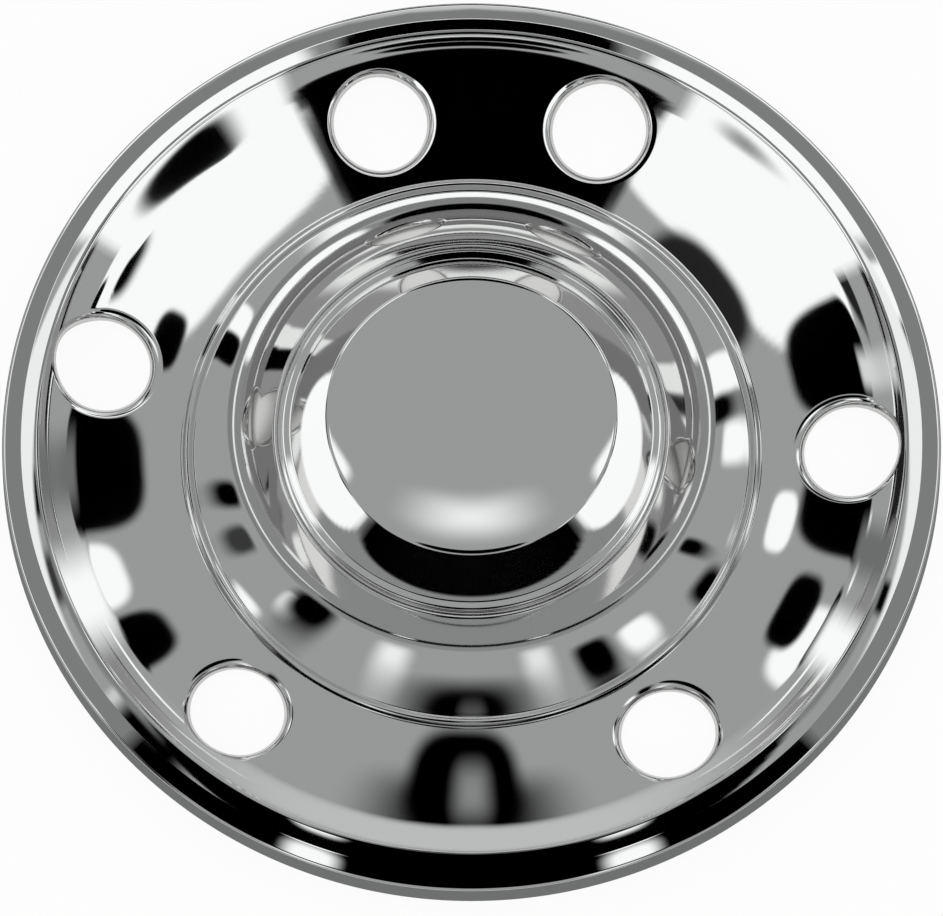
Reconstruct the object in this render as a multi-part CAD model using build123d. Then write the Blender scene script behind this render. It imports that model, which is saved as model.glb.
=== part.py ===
from build123d import *

import os
from math import asin, atan2, cos, degrees, radians, sin, tan

# Truck wheel simulator: a polished stainless cover that snaps over the face of a truck wheel.
# It lies face up. The wheel's axis is Z, and Z = 0 is the plane of the turned-in back edge.
# Sections are drawn as (radius, height) and turned about Z. Radii are worked out from the rim inwards.
# All sizes are millimetres and degrees.

# Sheet
SHEET = 1.0

# Rim of the liner
OUTER_RADIUS = 265.0
BACK_EDGE_WIDTH = 3.8
BACK_EDGE_BEND = 1.8
SKIRT_HEIGHT = 19.5
SKIRT_BEND = 2.5
FLANGE_WIDTH = 10.5
FLANGE_RISE = 1.4
FLANGE_CREASE = 2.5
CREST_WIDTH = 9.3
CREST_RISE = 5.3
CREST_BEND = 2.5

# Bowl of the liner
BOWL_WALL_ANGLE = 46.0
BOWL_WALL_STRAIGHT = 0.8
BOWL_RADIUS = 36.0
BOWL_FLOOR_ANGLE = 8.5

# Vent holes, as uneven as on the photographed cover
# Each has its angle, anticlockwise from +X, and the distance of its edge from the crest
VENTS = (
    (0.0, 4.1),
    (69.4, 13.0),
    (104.7, 15.3),
    (166.1, 4.1),
    (229.5, 15.4),
    (303.5, 17.7),
)
VENT_RADIUS = 26.3
VENT_BEAD_MARGIN = 4.3
VENT_LIP_RADIUS = 7.0
VENT_LIP_DEPTH = 5.2

# Stiffening bead and flared cone of the liner
BEAD_WIDTH = 6.2
BEAD_APEX = 3.4
BEAD_CREST_RADIUS = 2.0
BEAD_FOOT_RADIUS = 1.5
FLARE_STRAIGHT = 2.5
FLARE_ANGLE = 23.0
FLARE_RADIUS = 80.0
CONE_ANGLE = 53.5
CONE_STRAIGHT = 14.7

# Seat and neck that hold the hub cap
SEAT_STEP_WIDTH = 1.6
SEAT_STEP_DEPTH = 3.4
SEAT_STEP_BEND = 1.6
SEAT_CORNER_RADIUS = 1.2
SEAT_WIDTH = 8.0
NECK_BEND = 2.0
NECK_DEPTH = 7.6

# Hub cap
PLUG_CLEARANCE = 0.3
CAP_WALL_OFFSET = 1.2
CAP_WALL_WIDTH = 22.3
CAP_WALL_ANGLE = 51.8
CAP_FOOT_RADIUS = 1.2
CAP_SHOULDER_RADIUS = 5.0
FACE_DOME_RISE = 5.0
STOP_BEAD_WIDTH = 5.0
STOP_BEAD_HEIGHT = 3.2
STOP_BEAD_BEND = 1.55
SNAP_CLEARANCE = 0.3
SNAP_HEIGHT = 0.9
SNAP_LENGTH = 2.6
SNAP_BEND = 1.4
FINGER_COUNT = 12
FINGER_SLOT_WIDTH = 3.0

# Retaining clips, welded behind the bowl between the vents
CLIP_COUNT = 6
CLIP_FIRST_ANGLE = 27.0
CLIP_SHEET = 0.8
CLIP_WIDTH = 24.0
CLIP_PAD_LOW_ANGLE = 10.0
CLIP_PAD_HIGH_ANGLE = 32.0
CLIP_BEND_RADIUS = 2.5
CLIP_LEG_ANGLE = 76.0
CLIP_LEG_LENGTH = 10.0
CLIP_BARB_BEND = 2.0
CLIP_TIP_ANGLE = 125.0
CLIP_TIP_LENGTH = 4.0
WELD_FILM = 0.1

# Where the liner's turned faces start and end, clear of the vents
SEAM_ANGLE = 27.0

# How closely a sampled point has to lie on a vent's circle
ROUNDNESS = 0.01


def heading(angle, length=1.0):
    """A step of the given length along an angle measured from +radius towards +height."""
    return Vector(length * cos(radians(angle)), length * sin(radians(angle)))


def bend_run(radius, first_angle, second_angle):
    """How far a bend reaches from its corner along each of two straights."""
    return radius * tan(radians(abs(second_angle - first_angle)) / 2)


def turned_sheet(section_path, thickness, turn=360.0):
    """A sheet of even thickness behind a section path, turned about Z."""
    outline = section_path.offset_2d(thickness, side=Side.RIGHT)
    return revolve(Plane.XZ * make_face(outline), Axis.Z, turn)


# Corner points of the liner's front surface, from the back edge to the neck
back_edge = Vector(OUTER_RADIUS - BACK_EDGE_WIDTH, 0)
skirt_foot = Vector(OUTER_RADIUS, 0)
skirt_top = Vector(OUTER_RADIUS, SKIRT_HEIGHT)
crease = skirt_top + Vector(-FLANGE_WIDTH, FLANGE_RISE)
crest = crease + Vector(-CREST_WIDTH, CREST_RISE)

crest_run = bend_run(CREST_BEND, degrees(atan2(CREST_RISE, CREST_WIDTH)), -BOWL_WALL_ANGLE)
bowl_run = bend_run(BOWL_RADIUS, BOWL_WALL_ANGLE, BOWL_FLOOR_ANGLE)
bowl_corner = crest + heading(180 + BOWL_WALL_ANGLE, crest_run + BOWL_WALL_STRAIGHT + bowl_run)
vent_reach = max(margin for angle, margin in VENTS) + 2 * VENT_RADIUS + VENT_LIP_RADIUS
floor_width = bowl_corner.X - crest.X + vent_reach + VENT_BEAD_MARGIN
bead_outer_foot = bowl_corner + Vector(-floor_width, -floor_width * tan(radians(BOWL_FLOOR_ANGLE)))
bowl_path = FilletPolyline(crest, bowl_corner, bead_outer_foot, radius=BOWL_RADIUS)

bead_apex = bead_outer_foot + Vector(-BEAD_WIDTH / 2, BEAD_APEX)
bead_inner_foot = bead_outer_foot + Vector(-BEAD_WIDTH, 0)
foot_run = bend_run(BEAD_FOOT_RADIUS, -degrees(atan2(BEAD_APEX, BEAD_WIDTH / 2)), FLARE_ANGLE)
flare_run = bend_run(FLARE_RADIUS, FLARE_ANGLE, CONE_ANGLE)
flare = bead_inner_foot + heading(180 - FLARE_ANGLE, foot_run + FLARE_STRAIGHT + flare_run)
step_run = bend_run(SEAT_STEP_BEND, CONE_ANGLE, -degrees(atan2(SEAT_STEP_DEPTH, SEAT_STEP_WIDTH)))
cone_top = flare + heading(180 - CONE_ANGLE, flare_run + CONE_STRAIGHT + step_run)
seat_outer = cone_top + Vector(-SEAT_STEP_WIDTH, -SEAT_STEP_DEPTH)
seat_inner = seat_outer + Vector(-SEAT_WIDTH, 0)
neck_end = seat_inner + Vector(0, -NECK_DEPTH)


def make_liner_blank():
    """The pressed sheet before its vents are pierced."""
    bends = (
        (skirt_foot, BACK_EDGE_BEND),
        (skirt_top, SKIRT_BEND),
        (crease, FLANGE_CREASE),
        (crest, CREST_BEND),
        (bowl_corner, BOWL_RADIUS),
        (bead_outer_foot, BEAD_FOOT_RADIUS),
        (bead_apex, BEAD_CREST_RADIUS),
        (bead_inner_foot, BEAD_FOOT_RADIUS),
        (flare, FLARE_RADIUS),
        (cone_top, SEAT_STEP_BEND),
        (seat_outer, SEAT_CORNER_RADIUS),
        (seat_inner, NECK_BEND),
    )
    corners = [corner for corner, bend in bends]
    radii = [bend for corner, bend in bends]
    path = FilletPolyline(neck_end, *reversed(corners), back_edge, radius=list(reversed(radii)))
    return turned_sheet(path, SHEET)


def below_bowl(drop, floor_height):
    """The ring of space from a height up to the bowl's front surface lowered by a drop."""
    top = Pos(0, -drop) * bowl_path
    low_inner = Vector(bead_outer_foot.X, floor_height)
    low_outer = Vector(crest.X, floor_height)
    sides = Polyline(top @ 1, low_inner, low_outer, top @ 0)
    return revolve(Plane.XZ * make_face([*top.edges(), *sides.edges()]), Axis.Z)


def vent_edges(sheet, axes, radius):
    """The edges of a pierced sheet that run round its vents at one radius, above the back edge."""
    found = []
    for edge in sheet.edges():
        samples = [edge @ 0, edge @ 0.5, edge @ 1]
        if min(point.Z for point in samples) < 0:
            continue
        for axis in axes:
            misses = [abs((point - axis).project_to_plane(Plane.XY).length - radius) for point in samples]
            if max(misses) < ROUNDNESS:
                found.append(edge)
    return found


def make_liner():
    """The liner: the pressed sheet with its vents pierced and their lips turned back."""
    axes = []
    for angle, margin in VENTS:
        axes.append(Vector(crest.X - margin - VENT_RADIUS, 0).rotate(Axis.Z, angle))
    depth = SKIRT_HEIGHT + VENT_LIP_DEPTH
    seam = Rot(0, 0, SEAM_ANGLE)
    under_sheet = seam * below_bowl(SHEET / 2, -depth)
    post = Cylinder(VENT_RADIUS + SHEET, 4 * depth)
    bore = Cylinder(VENT_RADIUS, 4 * depth)
    sheet = seam * make_liner_blank()
    sheet += [under_sheet & (Pos(axis) * post) for axis in axes]
    sheet -= [Pos(axis) * bore for axis in axes]
    sheet = fillet(vent_edges(sheet, axes, VENT_RADIUS + SHEET), VENT_LIP_RADIUS - SHEET)
    sheet = fillet(vent_edges(sheet, axes, VENT_RADIUS), VENT_LIP_RADIUS)
    return sheet - seam * below_bowl(VENT_LIP_DEPTH, -2 * depth)


def make_hub_cap():
    """The hub cap: domed face, wall, rolled stop bead and slotted snap plug."""
    plug_radius = seat_inner.X - PLUG_CLEARANCE
    foot = seat_inner + Vector(CAP_WALL_OFFSET, STOP_BEAD_HEIGHT)
    bead_top = foot + Vector(STOP_BEAD_WIDTH, 0)
    bead_bottom = bead_top + Vector(0, -STOP_BEAD_HEIGHT)
    plug_top = Vector(plug_radius, seat_inner.Y)
    snap_start = Vector(plug_radius, neck_end.Y - SNAP_CLEARANCE)
    snap_crest = snap_start + Vector(SNAP_HEIGHT, -SNAP_LENGTH / 2)
    snap_end = snap_start + Vector(0, -SNAP_LENGTH)

    face_radius = foot.X - CAP_WALL_WIDTH
    dome_radius = (face_radius ** 2 + FACE_DOME_RISE ** 2) / (2 * FACE_DOME_RISE)
    dome_angle = degrees(asin(face_radius / dome_radius))
    shoulder_width = CAP_SHOULDER_RADIUS * (sin(radians(CAP_WALL_ANGLE)) - sin(radians(dome_angle)))
    shoulder_drop = CAP_SHOULDER_RADIUS * (cos(radians(dome_angle)) - cos(radians(CAP_WALL_ANGLE)))
    wall_rise = (CAP_WALL_WIDTH - shoulder_width) * tan(radians(CAP_WALL_ANGLE))
    face_height = foot.Y + wall_rise + shoulder_drop + FACE_DOME_RISE

    dome = CenterArc((0, face_height - dome_radius), dome_radius, 90, -dome_angle)
    shoulder = JernArc(dome @ 1, dome % 1, CAP_SHOULDER_RADIUS, dome_angle - CAP_WALL_ANGLE)
    bends = (
        (foot, CAP_FOOT_RADIUS),
        (bead_top, STOP_BEAD_BEND),
        (bead_bottom, STOP_BEAD_BEND),
        (plug_top, CAP_FOOT_RADIUS),
        (snap_start, SNAP_BEND / 2),
        (snap_crest, SNAP_BEND),
    )
    corners = [corner for corner, bend in bends]
    radii = [bend for corner, bend in bends]
    wall = FilletPolyline(shoulder @ 1, *corners, snap_end, radius=radii)
    cap = turned_sheet(Wire([*dome.edges(), *shoulder.edges(), *wall.edges()]), SHEET)

    slot_top = seat_inner.Y - NECK_BEND
    slot_height = 2 * (slot_top - snap_end.Y)
    slot = Pos(plug_radius, 0, slot_top) * Box(
        4 * (SHEET + SNAP_HEIGHT), FINGER_SLOT_WIDTH, slot_height,
        align=(Align.CENTER, Align.CENTER, Align.MAX))
    slots = [Rot(0, 0, 360 * index / FINGER_COUNT) * slot for index in range(FINGER_COUNT)]
    return cap - slots


def make_retaining_clip():
    """One spring clip, centred on +X: welded pad, folded leg and outward barb."""
    bowl_arc = bowl_path.edges().filter_by(GeomType.CIRCLE)[0]
    pad_radius = BOWL_RADIUS + SHEET + WELD_FILM
    pad_angle = CLIP_PAD_HIGH_ANGLE - CLIP_PAD_LOW_ANGLE
    pad = CenterArc(bowl_arc.arc_center, pad_radius, CLIP_PAD_LOW_ANGLE - 90, pad_angle)
    fold = JernArc(pad @ 1, pad % 1, CLIP_BEND_RADIUS, -CLIP_PAD_HIGH_ANGLE - CLIP_LEG_ANGLE)
    barb = fold @ 1 + heading(-CLIP_LEG_ANGLE, CLIP_LEG_LENGTH)
    tip = barb + heading(-CLIP_TIP_ANGLE, CLIP_TIP_LENGTH)
    leg = FilletPolyline(fold @ 1, barb, tip, radius=CLIP_BARB_BEND)
    turn = degrees(CLIP_WIDTH / barb.X)
    clip = turned_sheet(Wire([*pad.edges(), *fold.edges(), *leg.edges()]), CLIP_SHEET, turn)
    return Rot(0, 0, -turn / 2) * clip


parts = {"liner": make_liner(), "hub_cap": make_hub_cap()}
clip = make_retaining_clip()
for index in range(CLIP_COUNT):
    clip_angle = CLIP_FIRST_ANGLE + 360 * index / CLIP_COUNT
    parts[f"retaining_clip_{index + 1}"] = Rot(0, 0, clip_angle) * clip

os.makedirs("parts", exist_ok=True)
for name, part in parts.items():
    export_step(part, f"parts/{name}.step")
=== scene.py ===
from math import atan2, ceil, cos, degrees, hypot, pi, radians, sin, sqrt, tan

import bmesh
import bpy
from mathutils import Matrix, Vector


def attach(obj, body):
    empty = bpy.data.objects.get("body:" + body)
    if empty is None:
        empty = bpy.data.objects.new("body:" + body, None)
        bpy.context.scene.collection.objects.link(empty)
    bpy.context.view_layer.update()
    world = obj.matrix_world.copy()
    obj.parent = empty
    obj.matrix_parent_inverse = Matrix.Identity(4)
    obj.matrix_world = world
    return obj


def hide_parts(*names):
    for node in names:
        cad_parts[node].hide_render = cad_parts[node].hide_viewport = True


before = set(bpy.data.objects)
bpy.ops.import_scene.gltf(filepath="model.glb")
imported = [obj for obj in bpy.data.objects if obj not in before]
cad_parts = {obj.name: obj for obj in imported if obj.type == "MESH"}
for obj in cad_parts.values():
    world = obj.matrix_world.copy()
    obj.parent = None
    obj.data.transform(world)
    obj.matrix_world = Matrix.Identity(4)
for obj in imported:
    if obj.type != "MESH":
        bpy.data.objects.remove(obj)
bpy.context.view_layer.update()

# Truck wheel simulator: the polished look of the liner and its hub cap, and a studio around them.
# The cover lies face up, with the wheel's axis along Z. Lengths are metres and angles are degrees.

# Sheet and rim of the liner
SHEET = 0.001
OUTER_RADIUS = 0.265
BACK_EDGE_WIDTH = 0.0038
BACK_EDGE_BEND = 0.0018
SKIRT_HEIGHT = 0.0195
SKIRT_BEND = 0.0025
FLANGE_WIDTH = 0.0105
FLANGE_RISE = 0.0014
FLANGE_CREASE = 0.0025
CREST_WIDTH = 0.0093
CREST_RISE = 0.0053
CREST_BEND = 0.0025

# Bowl and vents of the liner. A vent's row gives its angle and how far its edge lies from the crest
BOWL_WALL_ANGLE = 46.0
BOWL_WALL_STRAIGHT = 0.0008
BOWL_RADIUS = 0.036
BOWL_FLOOR_ANGLE = 8.5
BOWL_WIDTH = 0.0816
VENTS = (
    (0.0, 0.0041),
    (69.4, 0.0130),
    (104.7, 0.0153),
    (166.1, 0.0041),
    (229.5, 0.0154),
    (303.5, 0.0177),
)
VENT_RADIUS = 0.0263
VENT_LIP_RADIUS = 0.007
VENT_LIP_DEPTH = 0.0052

# Bead, flare, cone, seat and neck of the liner
BEAD_WIDTH = 0.0062
BEAD_APEX = 0.0034
BEAD_CREST_RADIUS = 0.002
BEAD_FOOT_RADIUS = 0.0015
FLARE_STRAIGHT = 0.0025
FLARE_ANGLE = 23.0
FLARE_RADIUS = 0.080
CONE_ANGLE = 53.5
CONE_STRAIGHT = 0.0147
SEAT_STEP_WIDTH = 0.0016
SEAT_STEP_DEPTH = 0.0034
SEAT_STEP_BEND = 0.0016
SEAT_CORNER_RADIUS = 0.0012
SEAT_WIDTH = 0.008
NECK_BEND = 0.002
NECK_DEPTH = 0.0076

# Hub cap
PLUG_CLEARANCE = 0.0003
CAP_WALL_OFFSET = 0.0012
CAP_WALL_WIDTH = 0.0223
CAP_WALL_ANGLE = 51.8
CAP_FOOT_RADIUS = 0.0012
CAP_SHOULDER_RADIUS = 0.005
FACE_DOME_RISE = 0.005
STOP_BEAD_WIDTH = 0.005
STOP_BEAD_HEIGHT = 0.0032
STOP_BEAD_BEND = 0.00155
SNAP_CLEARANCE = 0.0003
SNAP_HEIGHT = 0.0009
SNAP_LENGTH = 0.0026
SNAP_BEND = 0.0014
FINGER_COUNT = 12
FINGER_SLOT_WIDTH = 0.003

# How finely the pieces are meshed, and how far beyond a vent's lip the sheet is meshed anew
TURN_STEPS = 300
BEND_STEP = 12.0
ARC_STEP = 0.002
STRAIGHT_STEP = 0.004
WINDOW_MARGIN = 1.4
WINDOW_REACH = 0.0012
COLLAR_RINGS = 8
LIP_RINGS = 12
LIP_HALVINGS = 24
SAME_PLACE = 0.000001

# Finishes: roughness, how far it varies either way, and how high the sheet's gentle waves are
STEEL_COLOUR = (0.77, 0.77, 0.76, 1)
SPRING_COLOUR = (0.5, 0.5, 0.5, 1)
LINER_FINISH = (0.04, 0.015, 0.0004)
CAP_FINISH = (0.05, 0.015, 0.0002)
SPRING_FINISH = (0.35, 0.08, 0.0)
GRAIN_SCALE = 24.0
GRAIN_DETAIL = 3.0
WAVE_SCALE = 9.0

# Camera
CAMERA_TILT = 18.8
CAMERA_LENS = 1400.0
CAMERA_SENSOR = 36.0
PICTURE_WIDTH = 0.5327
CAMERA_DROP = 0.0011
CAMERA_REACH = 100.0

# Faces of a piece are tagged by where they lie on the sheet
FRONT = 0
BACK = 1
CUT = 2


def heading(angle, length=1.0):
    """A step of the given length along an angle measured from +radius towards +height."""
    return Vector((length * cos(radians(angle)), length * sin(radians(angle))))


def bend_run(radius, first_angle, second_angle):
    """How far a bend reaches from its corner along each of two straights."""
    return radius * tan(radians(abs(second_angle - first_angle)) / 2)


def left_of(direction):
    """The normal on the left of a direction in a section."""
    return Vector((-direction.y, direction.x))


def rounded_section(corners, bends):
    """Points and left-hand normals along a section whose inner corners are bent to the given radii."""
    points = [(corners[0], left_of((corners[1] - corners[0]).normalized()))]

    def add_straight(end, direction):
        start = points[-1][0]
        length = (end - start).length
        if length < SAME_PLACE:
            return
        pieces = ceil(length / STRAIGHT_STEP)
        for index in range(1, pieces + 1):
            points.append((start.lerp(end, index / pieces), left_of(direction)))

    for before, corner, after, radius in zip(corners, corners[1:], corners[2:], bends):
        first = (corner - before).normalized()
        second = (after - corner).normalized()
        turn = atan2(first.x * second.y - first.y * second.x, first.dot(second))
        side = 1 if turn > 0 else -1
        run = radius * tan(abs(turn) / 2)
        arc_start = corner - first * run
        add_straight(arc_start, first)
        centre = arc_start + left_of(first) * radius * side
        pieces = max(ceil(abs(degrees(turn)) / BEND_STEP), ceil(abs(turn) * radius / ARC_STEP))
        for index in range(1, pieces + 1):
            swing = cos(turn * index / pieces)
            lift = sin(turn * index / pieces)
            way = Vector((first.x * swing - first.y * lift, first.x * lift + first.y * swing))
            points.append((centre - left_of(way) * radius * side, left_of(way)))
    add_straight(corners[-1], (corners[-1] - corners[-2]).normalized())
    return points


# Corner points of the liner's front surface, as (radius, height)
back_edge = Vector((OUTER_RADIUS - BACK_EDGE_WIDTH, 0))
skirt_foot = Vector((OUTER_RADIUS, 0))
skirt_top = Vector((OUTER_RADIUS, SKIRT_HEIGHT))
crease = skirt_top + Vector((-FLANGE_WIDTH, FLANGE_RISE))
crest = crease + Vector((-CREST_WIDTH, CREST_RISE))
crest_run = bend_run(CREST_BEND, degrees(atan2(CREST_RISE, CREST_WIDTH)), -BOWL_WALL_ANGLE)
bowl_run = bend_run(BOWL_RADIUS, BOWL_WALL_ANGLE, BOWL_FLOOR_ANGLE)
bowl_corner = crest + heading(180 + BOWL_WALL_ANGLE, crest_run + BOWL_WALL_STRAIGHT + bowl_run)
floor_width = bowl_corner.x - crest.x + BOWL_WIDTH
bead_outer_foot = bowl_corner + Vector((-floor_width, -floor_width * tan(radians(BOWL_FLOOR_ANGLE))))
bead_apex = bead_outer_foot + Vector((-BEAD_WIDTH / 2, BEAD_APEX))
bead_inner_foot = bead_outer_foot + Vector((-BEAD_WIDTH, 0))
foot_run = bend_run(BEAD_FOOT_RADIUS, -degrees(atan2(BEAD_APEX, BEAD_WIDTH / 2)), FLARE_ANGLE)
flare_run = bend_run(FLARE_RADIUS, FLARE_ANGLE, CONE_ANGLE)
flare = bead_inner_foot + heading(180 - FLARE_ANGLE, foot_run + FLARE_STRAIGHT + flare_run)
step_run = bend_run(SEAT_STEP_BEND, CONE_ANGLE, -degrees(atan2(SEAT_STEP_DEPTH, SEAT_STEP_WIDTH)))
cone_top = flare + heading(180 - CONE_ANGLE, flare_run + CONE_STRAIGHT + step_run)
seat_outer = cone_top + Vector((-SEAT_STEP_WIDTH, -SEAT_STEP_DEPTH))
seat_inner = seat_outer + Vector((-SEAT_WIDTH, 0))
neck_end = seat_inner + Vector((0, -NECK_DEPTH))

# Where the bowl's bend meets its straight floor and wall
floor_end = bowl_corner + heading(180 + BOWL_FLOOR_ANGLE, bowl_run)
wall_end = bowl_corner + heading(BOWL_WALL_ANGLE, bowl_run)
bowl_centre = floor_end + heading(90 + BOWL_FLOOR_ANGLE, BOWL_RADIUS)


def bowl_at(radius):
    """Height and unit normal (outwards, upwards) of the bowl's front surface at a radius."""
    if radius < floor_end.x:
        slope = radians(BOWL_FLOOR_ANGLE)
        height = floor_end.y + (radius - floor_end.x) * tan(slope)
        return height, -sin(slope), cos(slope)
    if radius > wall_end.x:
        slope = radians(BOWL_WALL_ANGLE)
        height = wall_end.y + (radius - wall_end.x) * tan(slope)
        return height, -sin(slope), cos(slope)
    lean = (radius - bowl_centre.x) / BOWL_RADIUS
    rise = sqrt(1 - lean * lean)
    return bowl_centre.y - BOWL_RADIUS * rise, -lean, rise


def touch_radius(ball_radius_out):
    """The radius where a lip's rolling ball, centred that far from the axis, touches the bowl."""
    on_floor = ball_radius_out - VENT_LIP_RADIUS * sin(radians(BOWL_FLOOR_ANGLE))
    if on_floor < floor_end.x:
        return on_floor
    on_wall = ball_radius_out - VENT_LIP_RADIUS * sin(radians(BOWL_WALL_ANGLE))
    if on_wall > wall_end.x:
        return on_wall
    return (ball_radius_out * BOWL_RADIUS + VENT_LIP_RADIUS * bowl_centre.x) / (BOWL_RADIUS + VENT_LIP_RADIUS)


def turned(section):
    """A sheet of no thickness, turned from a section about Z, with its normals in a layer."""
    mesh = bmesh.new()
    normals = mesh.verts.layers.float_vector.new("sheet_normal")
    chain = []
    for point, normal in section:
        vert = mesh.verts.new((point.x, 0, point.y))
        vert[normals] = Vector((normal.x, 0, normal.y))
        chain.append(vert)
    edges = [mesh.edges.new(pair) for pair in zip(chain, chain[1:])]
    bmesh.ops.spin(mesh, geom=chain + edges, cent=(0, 0, 0), axis=(0, 0, 1), angle=2 * pi,
                   steps=TURN_STEPS, use_merge=True)
    bmesh.ops.remove_doubles(mesh, verts=mesh.verts, dist=SAME_PLACE)
    for vert in mesh.verts:
        lean = vert[normals]
        radius = hypot(vert.co.x, vert.co.y)
        if radius > SAME_PLACE:
            vert[normals] = Vector((lean.x * vert.co.x / radius, lean.x * vert.co.y / radius, lean.z))
    return mesh


def open_vent(mesh, angle, margin):
    """Cuts a window round one vent out of a turned sheet and draws the sheet down into the vent's lip."""
    normals = mesh.verts.layers.float_vector["sheet_normal"]
    vent_circle = crest.x - margin - VENT_RADIUS
    axis = Vector((vent_circle * cos(radians(angle)), vent_circle * sin(radians(angle))))
    ball_circle = VENT_RADIUS + VENT_LIP_RADIUS
    low = touch_radius(vent_circle - ball_circle) - WINDOW_REACH
    high = touch_radius(vent_circle + ball_circle) + WINDOW_REACH
    half_turn = degrees(atan2(ball_circle, sqrt(vent_circle ** 2 - ball_circle ** 2))) + WINDOW_MARGIN

    def off_axis(point):
        away = degrees(atan2(point.y, point.x)) - angle
        return (away + 180) % 360 - 180

    window = []
    for face in mesh.faces:
        reach = [hypot(vert.co.x, vert.co.y) for vert in face.verts]
        turns = [abs(off_axis(vert.co)) for vert in face.verts]
        if max(reach) > low and min(reach) < high and min(turns) < half_turn:
            middle = face.calc_center_median()
            if bead_outer_foot.x < hypot(middle.x, middle.y) < crest.x:
                window.append(face)
    inside = set(window)
    ring = [edge for face in window for edge in face.edges
            if any(other not in inside for other in edge.link_faces)]
    bmesh.ops.delete(mesh, geom=window, context="FACES")
    ring = [edge for edge in ring if edge.is_valid]

    starts = {}
    for edge in ring:
        for vert in edge.verts:
            starts[vert] = (vert.co.copy(), atan2(vert.co.y - axis.y, vert.co.x - axis.x))
    for index in range(1, COLLAR_RINGS + LIP_RINGS + 1):
        made = bmesh.ops.extrude_edge_only(mesh, edges=ring)["geom"]
        ring = [item for item in made if isinstance(item, bmesh.types.BMEdge)]
        next_starts = {}
        for vert in {vert for edge in ring for vert in edge.verts}:
            neighbours = [edge.other_vert(vert) for edge in vert.link_edges]
            source = next(other for other in neighbours if other in starts)
            start, way = starts[source]
            next_starts[vert] = starts[source]
            ball = axis + heading(degrees(way), ball_circle)
            touch = touch_radius(ball.length)
            height, outwards, upwards = bowl_at(touch)
            out = ball.normalized()
            if index <= COLLAR_RINGS:
                share = index / COLLAR_RINGS
                start_turn = off_axis(start)
                turn = start_turn + (off_axis(ball) - start_turn) * share
                radius = hypot(start.x, start.y)
                radius += (touch - radius) * share
                height, outwards, upwards = bowl_at(radius)
                out = heading(angle + turn)
                vert.co = (out.x * radius, out.y * radius, height)
                vert[normals] = Vector((out.x * outwards, out.y * outwards, upwards))
            else:
                top = Vector((out.x * outwards, out.y * outwards, upwards))
                side = Vector((-cos(way), -sin(way), 0))
                centre = Vector((out.x * touch, out.y * touch, height)) - top * VENT_LIP_RADIUS
                end = lip_end(centre, top, side)
                normal = top.slerp(side, end * (index - COLLAR_RINGS) / LIP_RINGS)
                vert.co = centre + normal * VENT_LIP_RADIUS
                vert[normals] = normal
        starts = next_starts


def lip_end(centre, top, side):
    """How far round its bend a lip goes before it is cut off at its depth below the bowl."""
    low = 0.0
    high = 1.0
    for _ in range(LIP_HALVINGS):
        share = (low + high) / 2
        point = centre + top.slerp(side, share) * VENT_LIP_RADIUS
        drop = bowl_at(hypot(point.x, point.y))[0] - point.z
        if drop < VENT_LIP_DEPTH:
            low = share
        else:
            high = share
    return low


def finished_piece(name, mesh, node, material):
    """Gives a sheet its thickness and its normals and makes it an object that stands for a CAD node."""
    normals = mesh.verts.layers.float_vector["sheet_normal"]
    where = mesh.faces.layers.int.new("where")
    front = list(mesh.faces)
    for face in front:
        face.normal_update()
        if face.normal.dot(face.verts[0][normals]) < 0:
            face.normal_flip()
        face[where] = FRONT
    made = bmesh.ops.extrude_face_region(mesh, geom=front, use_keep_orig=True)["geom"]
    back_verts = {item for item in made if isinstance(item, bmesh.types.BMVert)}
    for vert in back_verts:
        vert.co -= vert[normals] * SHEET
        vert[normals] = -vert[normals]
    kept = set(front)
    for face in mesh.faces:
        if face in kept:
            continue
        face[where] = BACK if all(vert in back_verts for vert in face.verts) else CUT
    bmesh.ops.recalc_face_normals(mesh, faces=mesh.faces)
    data = bpy.data.meshes.new(name)
    loop_normals = []
    for face in mesh.faces:
        face.smooth = True
        for loop in face.loops:
            loop_normals.append(face.normal.copy() if face[where] == CUT else loop.vert[normals].copy())
    mesh.to_mesh(data)
    mesh.free()
    data.normals_split_custom_set(loop_normals)
    data.materials.append(material)
    piece = bpy.data.objects.new(name, data)
    bpy.context.scene.collection.objects.link(piece)
    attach(piece, "root")
    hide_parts(node)


def make_liner(material):
    """The polished liner, from the neck for the hub cap out to the turned-in back edge."""
    bends = (
        (seat_inner, NECK_BEND),
        (seat_outer, SEAT_CORNER_RADIUS),
        (cone_top, SEAT_STEP_BEND),
        (flare, FLARE_RADIUS),
        (bead_inner_foot, BEAD_FOOT_RADIUS),
        (bead_apex, BEAD_CREST_RADIUS),
        (bead_outer_foot, BEAD_FOOT_RADIUS),
        (bowl_corner, BOWL_RADIUS),
        (crest, CREST_BEND),
        (crease, FLANGE_CREASE),
        (skirt_top, SKIRT_BEND),
        (skirt_foot, BACK_EDGE_BEND),
    )
    corners = [neck_end, *(corner for corner, bend in bends), back_edge]
    mesh = turned(rounded_section(corners, [bend for corner, bend in bends]))
    for angle, margin in VENTS:
        open_vent(mesh, angle, margin)
    finished_piece("polished_liner", mesh, "liner", material)


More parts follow.
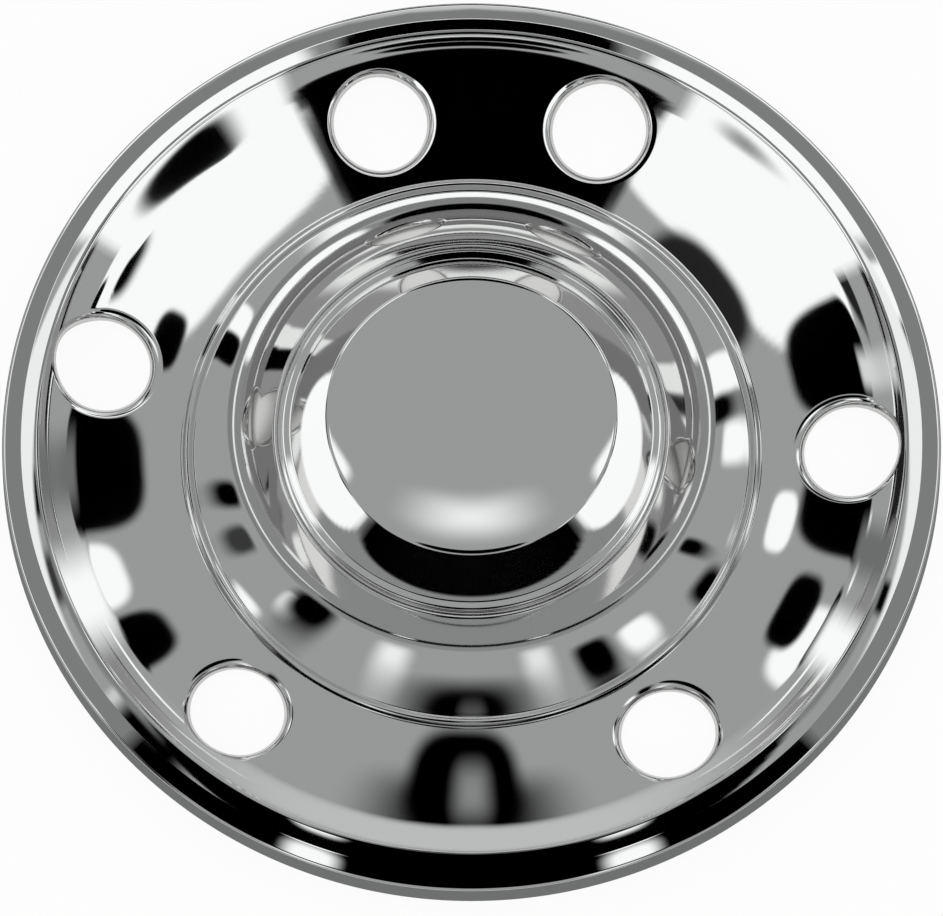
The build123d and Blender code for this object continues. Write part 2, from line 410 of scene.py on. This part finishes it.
def make_hub_cap(material):
    """The polished hub cap: domed face, wall, stop bead and slotted plug."""
    plug_radius = seat_inner.x - PLUG_CLEARANCE
    foot = seat_inner + Vector((CAP_WALL_OFFSET, STOP_BEAD_HEIGHT))
    bead_top = foot + Vector((STOP_BEAD_WIDTH, 0))
    bead_bottom = bead_top + Vector((0, -STOP_BEAD_HEIGHT))
    plug_top = Vector((plug_radius, seat_inner.y))
    snap_start = Vector((plug_radius, neck_end.y - SNAP_CLEARANCE))
    snap_crest = snap_start + Vector((SNAP_HEIGHT, -SNAP_LENGTH / 2))
    snap_end = snap_start + Vector((0, -SNAP_LENGTH))

    face_radius = foot.x - CAP_WALL_WIDTH
    dome_radius = (face_radius ** 2 + FACE_DOME_RISE ** 2) / (2 * FACE_DOME_RISE)
    dome_angle = degrees(atan2(face_radius, dome_radius - FACE_DOME_RISE))
    shoulder_width = CAP_SHOULDER_RADIUS * (sin(radians(CAP_WALL_ANGLE)) - sin(radians(dome_angle)))
    shoulder_drop = CAP_SHOULDER_RADIUS * (cos(radians(dome_angle)) - cos(radians(CAP_WALL_ANGLE)))
    wall_rise = (CAP_WALL_WIDTH - shoulder_width) * tan(radians(CAP_WALL_ANGLE))
    face_height = foot.y + wall_rise + shoulder_drop + FACE_DOME_RISE
    dome_run = bend_run(dome_radius, 0, dome_angle)
    shoulder_run = bend_run(CAP_SHOULDER_RADIUS, dome_angle, CAP_WALL_ANGLE)
    face_centre = Vector((0, face_height))
    dome_corner = face_centre + Vector((dome_run, 0))
    shoulder_corner = dome_corner + heading(-dome_angle, dome_run + shoulder_run)

    bends = (
        (dome_corner, dome_radius),
        (shoulder_corner, CAP_SHOULDER_RADIUS),
        (foot, CAP_FOOT_RADIUS),
        (bead_top, STOP_BEAD_BEND),
        (bead_bottom, STOP_BEAD_BEND),
        (plug_top, CAP_FOOT_RADIUS),
        (snap_start, SNAP_BEND / 2),
        (snap_crest, SNAP_BEND),
    )
    corners = [face_centre, *(corner for corner, bend in bends), snap_end]
    mesh = turned(rounded_section(corners, [bend for corner, bend in bends]))

    slot_top = seat_inner.y - NECK_BEND
    slot_turn = degrees(FINGER_SLOT_WIDTH / plug_radius) / 2
    pitch = 360 / FINGER_COUNT
    slots = []
    for face in mesh.faces:
        middle = face.calc_center_median()
        away = (degrees(atan2(middle.y, middle.x)) + pitch / 2) % pitch - pitch / 2
        if middle.z < slot_top and abs(away) < slot_turn:
            slots.append(face)
    bmesh.ops.delete(mesh, geom=slots, context="FACES")
    finished_piece("polished_hub_cap", mesh, "hub_cap", material)


def metal(name, colour, finish):
    """A bare metal whose gloss varies a little and whose surface is gently uneven."""
    roughness, spread, waviness = finish
    material = bpy.data.materials.new(name)
    material.use_nodes = True
    nodes = material.node_tree.nodes
    links = material.node_tree.links
    shader = nodes["Principled BSDF"]
    shader.inputs["Base Color"].default_value = colour
    shader.inputs["Metallic"].default_value = 1.0
    place = nodes.new("ShaderNodeTexCoord")
    grain = nodes.new("ShaderNodeTexNoise")
    grain.inputs["Scale"].default_value = GRAIN_SCALE
    grain.inputs["Detail"].default_value = GRAIN_DETAIL
    links.new(place.outputs["Object"], grain.inputs["Vector"])
    gloss = nodes.new("ShaderNodeMapRange")
    gloss.inputs["To Min"].default_value = roughness - spread
    gloss.inputs["To Max"].default_value = roughness + spread
    links.new(grain.outputs["Fac"], gloss.inputs["Value"])
    links.new(gloss.outputs["Result"], shader.inputs["Roughness"])
    waves = nodes.new("ShaderNodeTexNoise")
    waves.inputs["Scale"].default_value = WAVE_SCALE
    waves.inputs["Detail"].default_value = 0.0
    links.new(place.outputs["Object"], waves.inputs["Vector"])
    bump = nodes.new("ShaderNodeBump")
    bump.inputs["Strength"].default_value = 1.0
    bump.inputs["Distance"].default_value = waviness
    links.new(waves.outputs["Fac"], bump.inputs["Height"])
    links.new(bump.outputs["Normal"], shader.inputs["Normal"])
    return material


# Studio. Soft boxes and dark flags hang and stand close round the cover, unseen by the camera, for the
# polished steel to mirror. Each card is a piece of a ring, and its row gives a label, the two angles that it
# runs between, anticlockwise from +X with the camera's side at 270, the two distances from the middle of its
# ring that it lies between (two heights for a standing card), how bright it is, and how much of it is soft
# edge. Where two hanging cards of a ring overlap, the cover mirrors the later one.
BOX = 1.25
FLAG = 0.0
CARD_STEPS = 40
CARD_CORNER = 3.0
CARD_GAP = 0.0002
CARD_TINT = (0.975, 0.99, 1, 1)

# Mirrored by the bowl and the hub cap's face
BOWL_RING_HEIGHT = 0.125
BOWL_RING_SHIFT = 0.045
BOWL_CARDS = (
    ("left_softbox", 112, 166, 0.13, 0.222, BOX, 0.1),
    ("right_softbox", 14, 66, 0.134, 0.222, BOX, 0.1),
    ("top_flag", 59, 118, 0.07, 0.235, FLAG, 0.06),
    ("right_inner_flag", 18, 52, 0.09, 0.147, 0.02, 0.25),
    ("face_glow", 236, 304, 0.08, 0.12, 1.1, 1),
    ("left_curtain", 197, 224, 0.099, 0.122, BOX, 0.4),
    ("right_curtain", 316, 343, 0.099, 0.122, BOX, 0.4),
)

# Mirrored by the flare and the cone
CONE_RING_HEIGHT = 0.135
CONE_CARDS = (
    ("far_box", 50, 130, 0.235, 0.31, BOX, 0.3),
    ("far_high_box", 58, 122, 0.33, 0.52, BOX, 0.3),
    ("front_box_left", 238, 254, 0.18, 0.6, 1.1, 0.9),
    ("front_box_mid", 283, 297, 0.18, 0.6, 1, 0.9),
    ("front_box_right", 312, 326, 0.22, 0.36, BOX, 0.55),
    ("left_box_a", 197, 211, 0.21, 0.265, BOX, 0.55),
    ("left_box_b", 208, 218, 0.26, 0.46, BOX, 0.55),
    ("right_box_a", 348, 364, 0.21, 0.275, BOX, 0.55),
    ("right_box_b", 8, 22, 0.24, 0.46, BOX, 0.55),
    ("right_box_c", 25, 36, 0.24, 0.7, BOX, 0.3),
    ("left_box_c", 160, 180, 0.21, 0.275, BOX, 0.55),
    ("left_box_d", 134, 143, 0.25, 0.5, BOX, 0.3),
    ("left_flare_shade", 116, 152, 0.205, 0.245, 0.1, 0.4),
    ("left_dark", 173, 183, 0.255, 0.6, FLAG, 0.55),
    ("left_dark_low", 185, 196, 0.25, 0.48, 0.05, 0.55),
    ("left_dark_high", 140, 148, 0.27, 0.5, FLAG, 0.3),
    ("right_dark", 19, 28, 0.26, 0.7, FLAG, 0.55),
    ("right_dark_low", 343, 350, 0.25, 0.6, FLAG, 0.55),
    ("left_front_flag", 208, 228, 0.19, 0.7, FLAG, 0.55),
    ("right_front_flag", 298, 313, 0.18, 0.4, FLAG, 0.55),
    ("right_side_flag", 332, 347, 0.18, 0.29, FLAG, 0.55),
)

# Mirrored by the flange of the rim
RIM_RING_HEIGHT = 0.045
RIM_CARDS = (
    ("rim_shade", 300, 600, 0.244, 0.279, 0.26, 0.1),
    ("rim_box_right_side", 312, 415, 0.279, 0.306, 1.1, 0.3),
    ("rim_box_left_side", 125, 228, 0.279, 0.306, 1.1, 0.3),
    ("rim_flag", 220, 320, 0.242, 0.28, FLAG, 0.05),
    ("rim_box_left", 244, 254, 0.252, 0.268, BOX, 0.6),
    ("rim_box_right", 286, 296, 0.252, 0.268, BOX, 0.6),
)

# Flags high over the near side, mirrored by the far side of the bowl
FRONT_LOW_HEIGHT = 0.2
FRONT_LOW_CARDS = (
    ("front_flag_low", 240, 300, 0.088, 0.25, FLAG, 0.12),
)
FRONT_HIGH_HEIGHT = 0.3
FRONT_HIGH_CARDS = (
    ("front_flag_high", 245, 295, 0.12, 0.27, FLAG, 0.12),
)

# Standing cards, mirrored by the hub cap's wall
CAP_RING_RADIUS = 0.113
CAP_CARDS = (
    ("cap_flag", 222, 318, 0.049, 0.082, FLAG, 0.08),
    ("cap_box_left", 155, 223, 0.049, 0.082, BOX, 0.08),
    ("cap_box_right", 317, 385, 0.049, 0.082, BOX, 0.08),
)

# Standing cards beyond the rim, mirrored by the far side of the crest
FAR_RING_RADIUS = 0.3
FAR_CARDS = (
    ("far_flag", 70, 108, 0.022, 0.052, FLAG, 0.15),
    ("far_left_rim_box", 109, 150, 0.022, 0.052, BOX, 0.15),
    ("far_right_rim_box", 30, 69, 0.022, 0.052, BOX, 0.15),
)

# Standing cards over the bowl, which face outwards and are mirrored by its wall
NEAR_RING_RADIUS = 0.222
NEAR_CARDS = (
    ("far_left_wall_box", 150, 114, 0.0145, 0.042, BOX, 0.15),
    ("far_left_wall_strip", 145, 122, 0.029, 0.034, FLAG, 0.4),
    ("left_wall_shade", 191, 174, 0.0145, 0.0305, 0.2, 0.8),
    ("left_wall_box", 212, 191, 0.0145, 0.0305, BOX, 0.8),
    ("near_wall_card", 324, 214, 0.0145, 0.0305, 0.65, 0.6),
    ("right_wall_box", 338, 324, 0.0145, 0.0305, BOX, 0.8),
    ("right_wall_shade", 352, 339, 0.0145, 0.0305, 0.2, 0.8),
    ("right_wall_gap", 17, 8, 0.0145, 0.0305, 0.85, 0.8),
    ("far_right_wall_box", 61, 26, 0.0145, 0.042, BOX, 0.15),
    ("far_right_wall_strip", 57, 34, 0.029, 0.034, FLAG, 0.4),
)

# Walls of the room, mirrored low down all round
ROOM_RING_RADIUS = 0.75
ROOM_CARDS = (
    ("left_wall", 30, 330, 0, 0.16, 0.3, 0.1),
    ("right_wall", 210, 510, 0, 0.16, 0.3, 0.1),
)

# Grey sheets that lie face up round the cover, mirrored by the skirt
GROUND_HEIGHT = 0.001
GROUND_CARDS = (
    ("left_sheet", 330, 30, 0.255, 0.36, 0.2, 0.1),
    ("right_sheet", 510, 210, 0.255, 0.36, 0.2, 0.1),
)

# Flags and small boxes beside the vents, mirrored by the bowl
SIDE_RING_HEIGHT = 0.118
SIDE_CARDS = (
    ("left_high_flag", 145, 161, 0.18, 0.225, FLAG, 0.25),
    ("left_spot", 155, 168, 0.14, 0.16, FLAG, 0.25),
    ("left_flag", 174, 196, 0.15, 0.225, FLAG, 0.15),
    ("left_low_box", 196, 208, 0.175, 0.225, BOX, 0.25),
    ("left_low_flag", 208, 218, 0.165, 0.225, FLAG, 0.25),
    ("right_high_flag", 2, 22, 0.15, 0.225, FLAG, 0.15),
    ("right_flag", 340, 357, 0.155, 0.225, FLAG, 0.15),
    ("right_low_box", 318, 334, 0.175, 0.225, BOX, 0.25),
    ("right_low_flag", 323, 338, 0.165, 0.19, FLAG, 0.25),
    ("right_streak", 338, 351, 0.14, 0.158, BOX, 0.25),
)

# A dark flag with a wide foot and a pale middle, mirrored by the near side of the bowl
MIDDLE_RING_HEIGHT = 0.065
MIDDLE_CARDS = (
    ("middle_flag", 256, 281, 0.115, 0.2, FLAG, 0.3),
    ("middle_flag_foot", 246, 292, 0.145, 0.215, FLAG, 0.7),
    ("middle_glow", 265, 275, 0.135, 0.195, 0.3, 0.9),
)

# The ceiling, which fades out towards its edge
CEILING_HEIGHT = 0.5
CEILING_RADIUS = 5.0
CEILING_FADE = 4.0
CEILING_LEVEL = 0.41
CEILING_SIDES = 48

# Floor
FLOOR_SIZE = 6.0
FLOOR_PAINT = (0.8, 0.8, 0.8, 1)
FLOOR_WHITE_SEEN = 0.93
FLOOR_WHITE_MIRRORED = 0.2
WHITE = (1, 1, 1, 1)


def add_card(mesh, level, softness, place):
    """Adds one card with round corners and a soft edge. place turns two shares from -1 to 1 into a point."""
    levels = mesh.verts.layers.float["level"]
    covers = mesh.verts.layers.float["cover"]
    grid = bmesh.ops.create_grid(mesh, x_segments=CARD_STEPS, y_segments=CARD_STEPS, size=1.0)
    for vert in grid["verts"]:
        turn_share = vert.co.x
        reach_share = vert.co.y
        reach = (abs(turn_share) ** CARD_CORNER + abs(reach_share) ** CARD_CORNER) ** (1 / CARD_CORNER)
        inside = min(max((1 - reach) / softness, 0), 1)
        vert[covers] = inside * inside * (3 - 2 * inside)
        vert[levels] = level
        vert.co = place(turn_share, reach_share)


def add_hanging_cards(mesh, height, shift, cards):
    """Adds a ring of level cards over the cover, each a little below the one before it.

    A card faces down, and up where its angles run backwards.
    """
    for index, (_, start, end, inner, outer, level, softness) in enumerate(cards):
        def place(turn_share, reach_share):
            turn = (start + end) / 2 + (end - start) / 2 * turn_share
            radius = (inner + outer) / 2 + (outer - inner) / 2 * reach_share
            point = heading(turn, radius)
            return point.x, point.y + shift, height - CARD_GAP * index

        add_card(mesh, level, softness, place)


def add_standing_cards(mesh, radius, cards):
    """Adds a ring of upright cards, each a little further out than the one before it.

    A card faces the hub cap, and away from it where its angles run backwards.
    """
    for index, (_, start, end, low, high, level, softness) in enumerate(cards):
        def place(turn_share, reach_share):
            point = heading((start + end) / 2 + (end - start) / 2 * turn_share, radius + CARD_GAP * index)
            return point.x, point.y, (low + high) / 2 - (high - low) / 2 * reach_share

        add_card(mesh, level, softness, place)


def add_ceiling(mesh):
    """Adds the round ceiling, facing down."""
    levels = mesh.verts.layers.float["level"]
    covers = mesh.verts.layers.float["cover"]
    rim = bmesh.ops.create_circle(mesh, cap_ends=True, segments=CEILING_SIDES, radius=CEILING_RADIUS)["verts"]
    bmesh.ops.translate(mesh, verts=rim, vec=(0, 0, CEILING_HEIGHT))
    face = rim[0].link_faces[0]
    face.normal_update()
    if face.normal.z > 0:
        face.normal_flip()
    bmesh.ops.inset_region(mesh, faces=[face], thickness=CEILING_FADE, use_even_offset=True)
    for vert in face.verts:
        vert[covers] = 1.0
    for vert in {*rim, *face.verts}:
        vert[levels] = CEILING_LEVEL


def card_material():
    """Glows at a card's level on the side that faces the cover, and is clear elsewhere and at a soft edge."""
    material = bpy.data.materials.new("studio_card")
    material.use_nodes = True
    nodes = material.node_tree.nodes
    links = material.node_tree.links
    nodes.clear()
    level = nodes.new("ShaderNodeAttribute")
    level.attribute_name = "level"
    cover = nodes.new("ShaderNodeAttribute")
    cover.attribute_name = "cover"
    glow = nodes.new("ShaderNodeEmission")
    glow.inputs["Color"].default_value = CARD_TINT
    links.new(level.outputs["Fac"], glow.inputs["Strength"])
    clear = nodes.new("ShaderNodeBsdfTransparent")
    side = nodes.new("ShaderNodeNewGeometry")
    facing = nodes.new("ShaderNodeMath")
    facing.operation = "SUBTRACT"
    facing.inputs[0].default_value = 1.0
    links.new(side.outputs["Backfacing"], facing.inputs[1])
    seen = nodes.new("ShaderNodeMath")
    seen.operation = "MULTIPLY"
    links.new(cover.outputs["Fac"], seen.inputs[0])
    links.new(facing.outputs[0], seen.inputs[1])
    mix = nodes.new("ShaderNodeMixShader")
    links.new(seen.outputs[0], mix.inputs["Fac"])
    links.new(clear.outputs["BSDF"], mix.inputs[1])
    links.new(glow.outputs["Emission"], mix.inputs[2])
    output = nodes.new("ShaderNodeOutputMaterial")
    links.new(mix.outputs["Shader"], output.inputs["Surface"])
    return material


def build_cards():
    """All boxes and flags as one stage object that only mirrored rays meet."""
    mesh = bmesh.new()
    mesh.verts.layers.float.new("level")
    mesh.verts.layers.float.new("cover")
    add_hanging_cards(mesh, RIM_RING_HEIGHT, 0.0, RIM_CARDS)
    add_hanging_cards(mesh, BOWL_RING_HEIGHT, BOWL_RING_SHIFT, BOWL_CARDS)
    add_hanging_cards(mesh, CONE_RING_HEIGHT, 0.0, CONE_CARDS)
    add_hanging_cards(mesh, FRONT_LOW_HEIGHT, 0.0, FRONT_LOW_CARDS)
    add_hanging_cards(mesh, FRONT_HIGH_HEIGHT, 0.0, FRONT_HIGH_CARDS)
    add_hanging_cards(mesh, SIDE_RING_HEIGHT, BOWL_RING_SHIFT, SIDE_CARDS)
    add_hanging_cards(mesh, MIDDLE_RING_HEIGHT, 0.0, MIDDLE_CARDS)
    add_ceiling(mesh)
    add_standing_cards(mesh, CAP_RING_RADIUS, CAP_CARDS)
    add_standing_cards(mesh, FAR_RING_RADIUS, FAR_CARDS)
    add_standing_cards(mesh, NEAR_RING_RADIUS, NEAR_CARDS)
    add_standing_cards(mesh, ROOM_RING_RADIUS, ROOM_CARDS)
    add_hanging_cards(mesh, GROUND_HEIGHT, 0.0, GROUND_CARDS)
    data = bpy.data.meshes.new("studio_cards")
    mesh.to_mesh(data)
    mesh.free()
    data.materials.append(card_material())
    cards = bpy.data.objects.new("studio_cards", data)
    bpy.context.scene.collection.objects.link(cards)
    cards.visible_camera = False
    cards.visible_diffuse = False
    cards.visible_shadow = False


def build_world():
    """Plain white all round, at the level where a colour renders as it is written."""
    world = bpy.data.worlds.new("studio")
    bpy.context.scene.world = world
    world.use_nodes = True
    white = world.node_tree.nodes["Background"]
    white.inputs["Color"].default_value = WHITE
    white.inputs["Strength"].default_value = 1.0


def floor_material():
    """Pale paint that takes a soft shadow, nearly white to the camera, and clear from below."""
    material = bpy.data.materials.new("floor")
    material.use_nodes = True
    nodes = material.node_tree.nodes
    links = material.node_tree.links
    nodes.clear()
    paint = nodes.new("ShaderNodeBsdfDiffuse")
    paint.inputs["Color"].default_value = FLOOR_PAINT
    white = nodes.new("ShaderNodeEmission")
    white.inputs["Color"].default_value = WHITE
    white.inputs["Strength"].default_value = 1.0
    path = nodes.new("ShaderNodeLightPath")
    seen = nodes.new("ShaderNodeMath")
    seen.operation = "MULTIPLY"
    seen.inputs[1].default_value = FLOOR_WHITE_SEEN
    links.new(path.outputs["Is Camera Ray"], seen.inputs[0])
    share = nodes.new("ShaderNodeMath")
    share.operation = "MULTIPLY_ADD"
    share.inputs[1].default_value = FLOOR_WHITE_MIRRORED
    links.new(path.outputs["Is Glossy Ray"], share.inputs[0])
    links.new(seen.outputs[0], share.inputs[2])
    mix = nodes.new("ShaderNodeMixShader")
    links.new(share.outputs[0], mix.inputs["Fac"])
    links.new(paint.outputs["BSDF"], mix.inputs[1])
    links.new(white.outputs["Emission"], mix.inputs[2])
    side = nodes.new("ShaderNodeNewGeometry")
    clear = nodes.new("ShaderNodeBsdfTransparent")
    sided = nodes.new("ShaderNodeMixShader")
    links.new(side.outputs["Backfacing"], sided.inputs["Fac"])
    links.new(mix.outputs["Shader"], sided.inputs[1])
    links.new(clear.outputs["BSDF"], sided.inputs[2])
    output = nodes.new("ShaderNodeOutputMaterial")
    links.new(sided.outputs["Shader"], output.inputs["Surface"])
    return material


def build_floor():
    """A plain floor at the height of the cover's back edge."""
    mesh = bmesh.new()
    bmesh.ops.create_grid(mesh, x_segments=1, y_segments=1, size=FLOOR_SIZE)
    data = bpy.data.meshes.new("floor")
    mesh.to_mesh(data)
    mesh.free()
    data.materials.append(floor_material())
    floor = bpy.data.objects.new("floor", data)
    bpy.context.scene.collection.objects.link(floor)


def build_camera():
    """A long lens that looks down on the cover's face from a little in front of its axis."""
    data = bpy.data.cameras.new("camera")
    data.lens = CAMERA_LENS
    data.sensor_width = CAMERA_SENSOR
    data.clip_end = CAMERA_REACH
    camera = bpy.data.objects.new("camera", data)
    bpy.context.scene.collection.objects.link(camera)
    distance = PICTURE_WIDTH * CAMERA_LENS / CAMERA_SENSOR
    tilt = radians(CAMERA_TILT)
    back = distance * sin(tilt) + CAMERA_DROP * cos(tilt)
    height = distance * cos(tilt) - CAMERA_DROP * sin(tilt)
    camera.location = (0, -back, height)
    camera.rotation_euler = (tilt, 0, 0)
    bpy.context.scene.camera = camera


make_liner(metal("polished_liner", STEEL_COLOUR, LINER_FINISH))
make_hub_cap(metal("polished_cap", STEEL_COLOUR, CAP_FINISH))
clip_steel = metal("spring_steel", SPRING_COLOUR, SPRING_FINISH)
for name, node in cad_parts.items():
    if name.startswith("retaining_clip"):
        node.data.materials.clear()
        node.data.materials.append(clip_steel)

build_world()
build_cards()
build_floor()
build_camera()
bpy.context.scene.view_settings.view_transform = "Standard"
